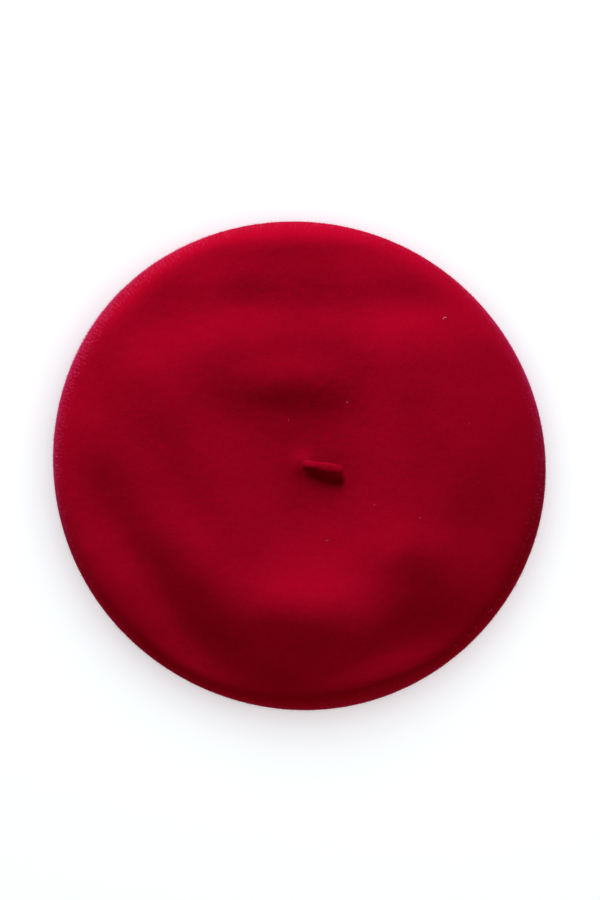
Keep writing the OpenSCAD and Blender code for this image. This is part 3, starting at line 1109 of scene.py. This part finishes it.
def make_label_threads():
    """Short threads from the lining to each hanging label's rolled edge."""
    parts = []
    for node, spacing in (("size_label", 6.3 * MM), ("care_label", 5.4 * MM)):
        axis, middle = sewn_edge(node)
        for place in (-1, 0, 1):
            foot = middle + axis * place * spacing
            head = Vector(crown_point(foot[0], foot[1], LINING_IN))
            foot = foot + Vector((0, 0, 0.5 * MM))
            path = [foot.lerp(head, t) + axis * 0.15 * MM * math.sin(math.pi * t) for t in (0, 0.33, 0.67, 1)]
            parts.append(tube_parts(path, [0.18 * MM] * 4, 6, up=Vector((0, 1, 0))))
    threads = add_piece("label_threads", *join_parts(parts), THREAD)
    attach(threads, CAP)
    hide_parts("label_stitches")


# ---------------- floor, light, camera
PHOTO_VIEW_W = 0.3426            # width of the view at the rim's height
PHOTO_ASPECT = 900 / 600
LENS = 100.0
SENSOR = 36.0
AIM = (0.7 * MM, 8.7 * MM)       # the camera looks a little in front of the cap's middle


def make_floor():
    size = 3.0
    corners = [(-size, -size, 0), (size, -size, 0), (size, size, 0), (-size, size, 0)]
    floor = add_piece("floor", corners, [(0, 1, 2, 3)], floor_material())
    return floor


ROOM_GLOW = colour(0.23, 0.19, 0.11)     # what the room lights with
ROOM_SEEN = colour(0.8, 0.8, 0.82)       # what the camera sees of it
# Low lamps that light the rim's edge: name, place and watts
EDGE_LAMPS = [
    ("left_front", (-1.1, 0.75, 0.14), 5.0),
    ("left_back", (-1.15, -0.85, 0.05), 4.0),
    ("right_back", (1.15, -0.85, 0.05), 5.0),
]


def add_area_light(name, location, size, power, lit, tint=(1, 1, 1)):
    """A round soft lamp aimed at the cap. It lights only the pieces in lit."""
    light = bpy.data.lights.new(name, "AREA")
    light.shape = "DISK"
    light.size = size
    light.energy = power
    light.color = tint
    lamp = bpy.data.objects.new(name, light)
    lamp.location = location
    lamp.rotation_euler = (Vector((0, 0, RIM_R)) - Vector(location)).to_track_quat("-Z", "Y").to_euler()
    bpy.context.scene.collection.objects.link(lamp)
    receivers = bpy.data.collections.new(name + "_lights")
    for piece in lit:
        receivers.objects.link(piece)
    lamp.light_linking.receiver_collection = receivers
    return lamp


def make_light(floor):
    """The room, and lamps that light the cap and the floor apart from each other."""
    world = bpy.data.worlds.new("soft_room")
    world.use_nodes = True
    background = world.node_tree.nodes["Background"]
    seen = world.node_tree.nodes.new("ShaderNodeLightPath").outputs["Is Camera Ray"]
    choose = world.node_tree.nodes.new("ShaderNodeMix")
    choose.data_type = "RGBA"
    choose.inputs[6].default_value = ROOM_GLOW
    choose.inputs[7].default_value = ROOM_SEEN
    world.node_tree.links.new(seen, choose.inputs[0])
    world.node_tree.links.new(choose.outputs[2], background.inputs["Color"])
    bpy.context.scene.world = world
    cap_pieces = [piece for piece in bpy.context.scene.objects if piece.type == "MESH" and piece != floor]
    add_area_light("window", (-0.2, 1.5, 0.78), 0.7, 66.0, cap_pieces, (0.97, 1.0, 1.3))
    add_area_light("fill", (0.2, -1.4, 0.12), 1.0, 5.0, cap_pieces, (1, 0.6, 0.25))
    for name, place, power in EDGE_LAMPS:
        add_area_light(name, place, 0.35, power, cap_pieces, (1, 0.75, 0.9))
    add_area_light("overhead", (0.05, 0.3, 1.2), 2.6, 22.5, [floor], (0.97, 1.0, 1.06))
    # Shines into the cap from under the floor, which doesn't block it
    below = add_area_light("below", (0.2, 0.35, -1.1), 1.2, 9.0, cap_pieces)
    below.light_linking.blocker_collection = below.light_linking.receiver_collection


def make_camera():
    """Straight above the cap, at the distance that gives the photo's width of view."""
    camera_data = bpy.data.cameras.new("camera")
    camera_data.lens = LENS
    camera_data.sensor_width = SENSOR
    camera_data.sensor_fit = "AUTO"
    distance = PHOTO_VIEW_W * PHOTO_ASPECT * LENS / SENSOR
    camera = bpy.data.objects.new("camera", camera_data)
    camera.location = (AIM[0], AIM[1], RIM_R + distance)
    bpy.context.scene.collection.objects.link(camera)
    bpy.context.scene.camera = camera
    bpy.context.scene.view_settings.view_transform = "Standard"


felt = make_felt()
make_nap(felt)
make_lint()
make_stalk()
make_stalk_root()
make_lining_top()
make_lining_side()
make_lining_seam()
make_band()
make_band_stitches()
make_band_joint()
make_bow()
make_maker_label()
make_hanging_label("size_tape", "size_label", width=16 * MM, length=8.3 * MM, bow_out=0.3 * MM,
                   set_out=math.radians(15))
make_hanging_label("care_tape", "care_label", width=18 * MM, length=21.5 * MM, bow_out=1.0 * MM)
make_label_threads()
make_light(make_floor())
make_camera()
